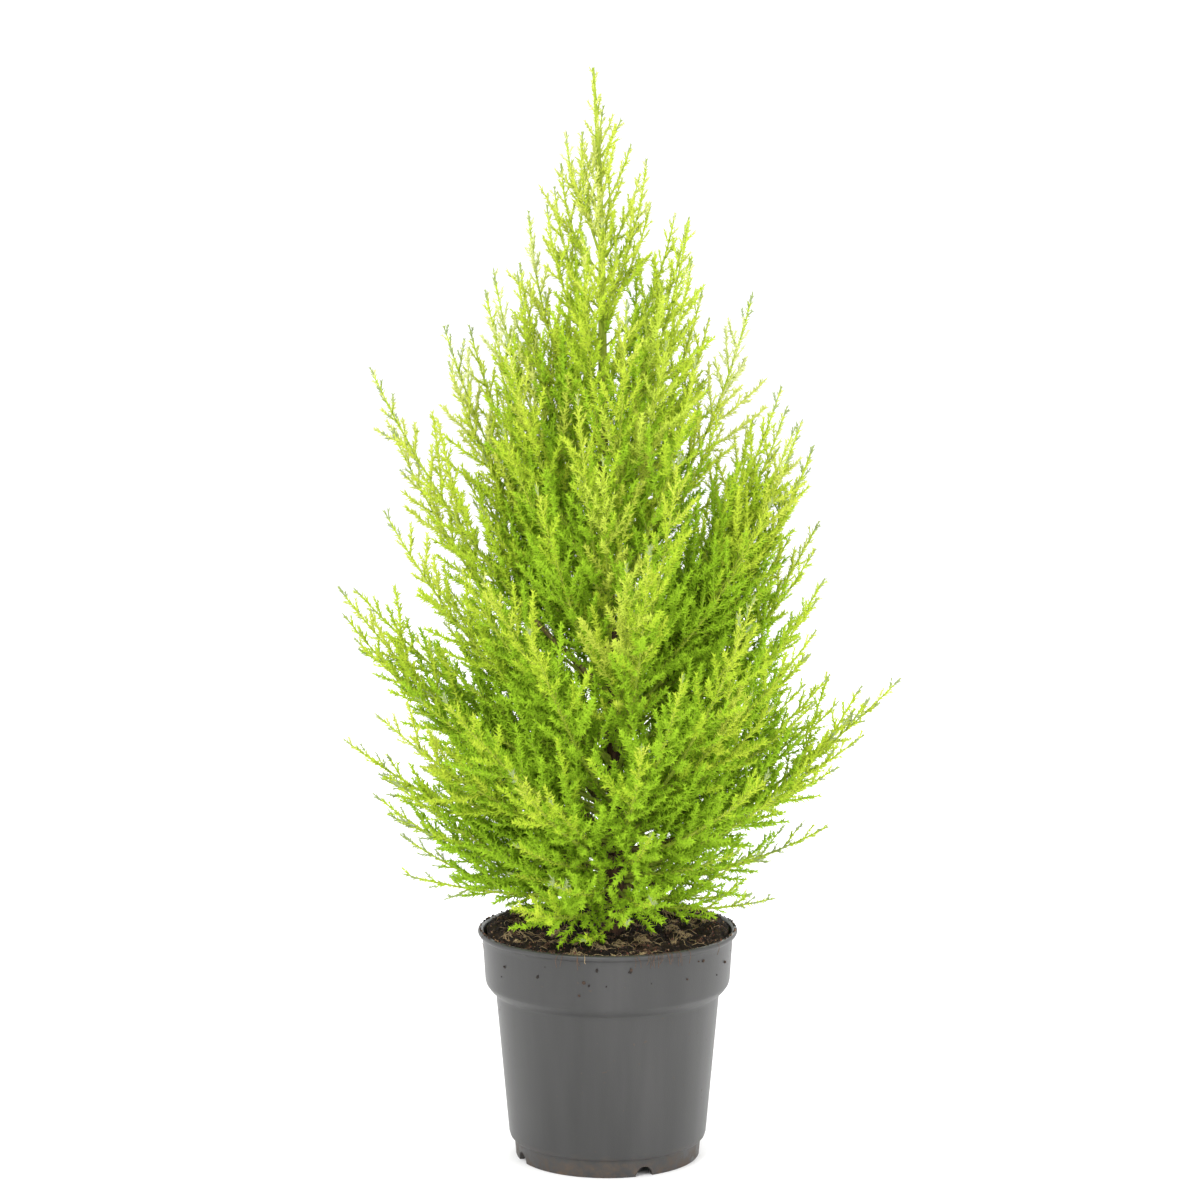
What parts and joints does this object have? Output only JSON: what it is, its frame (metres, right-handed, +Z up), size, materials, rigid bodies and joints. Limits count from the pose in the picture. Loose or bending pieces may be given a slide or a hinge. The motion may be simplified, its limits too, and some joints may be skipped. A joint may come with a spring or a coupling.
{
  "type": "potted lemon cypress",
  "caption": "Young conical conifer with feathery lime-green shoots on a whole slender trunk, growing in peat in a round grey nursery pot with a wide rim band.",
  "frame": {"origin": "middle of the flat underside of the pot, on the pot's axis", "axes": "+Z up along the pot's axis to the tip of the plant, -Y towards the side shown as the front"},
  "size_m": [0.2809, 0.2481, 0.54],
  "materials": {
    "pot_plastic": "satin moulded grey plastic with peat smears near the foot",
    "peat": "loose dark brown potting peat with straw-coloured fibres",
    "trunk_bark": "thin reddish-brown bark, finely ridged",
    "bough_bark": "young tan to olive bark",
    "needles_lime": "soft yellow-lime needles",
    "needles_green": "soft bright green needles",
    "needles_deep": "soft mid green needles, shaded"
  },
  "bodies": {
    "root": {"bough_back_02": "bough_bark", "bough_back_03": "bough_bark", "bough_back_04": "bough_bark", "bough_back_05": "bough_bark", "bough_back_06": "bough_bark", "bough_front_08": "bough_bark", "bough_left_04": "bough_bark", "bough_left_05": "bough_bark", "bough_left_06": "bough_bark", "bough_left_07": "bough_bark", "bough_left_08": "bough_bark", "bough_left_09": "bough_bark", "bough_right_05": "bough_bark", "bough_right_06": "bough_bark", "bough_right_07": "bough_bark", "bough_right_08": "bough_bark", "pot": "pot_plastic", "soil": "peat", "spray_back_01": "needles_deep", "spray_back_02": "needles_deep", "spray_back_03": "needles_deep", "spray_back_04": "needles_deep", "spray_back_05": "needles_deep", "spray_back_06": "needles_deep", "spray_back_07": "needles_deep", "spray_back_08": "needles_deep", "spray_back_09": "needles_deep", "spray_front_01": "needles_green", "spray_front_02": "needles_green", "spray_front_03": "needles_green", "spray_front_04": "needles_green", "spray_front_05": "needles_green", "spray_front_06": "needles_green", "spray_front_07": "needles_green", "spray_front_08": "needles_green", "spray_leader_01": "needles_lime", "spray_leader_02": "needles_lime", "spray_leader_03": "needles_lime", "spray_left_01": "needles_lime", "spray_left_02": "needles_lime", "spray_left_03": "needles_lime", "spray_left_04": "needles_green", "spray_left_05": "needles_green", "spray_left_06": "needles_green", "spray_left_07": "needles_green", "spray_left_08": "needles_green", "spray_left_09": "needles_green", "spray_left_10": "needles_green", "spray_right_01": "needles_lime", "spray_right_02": "needles_lime", "spray_right_03": "needles_green", "spray_right_04": "needles_green", "spray_right_05": "needles_green", "spray_right_06": "needles_green", "spray_right_07": "needles_green", "spray_right_08": "needles_green", "spray_right_09": "needles_green", "trunk": "trunk_bark"}
  },
  "joints": []
}
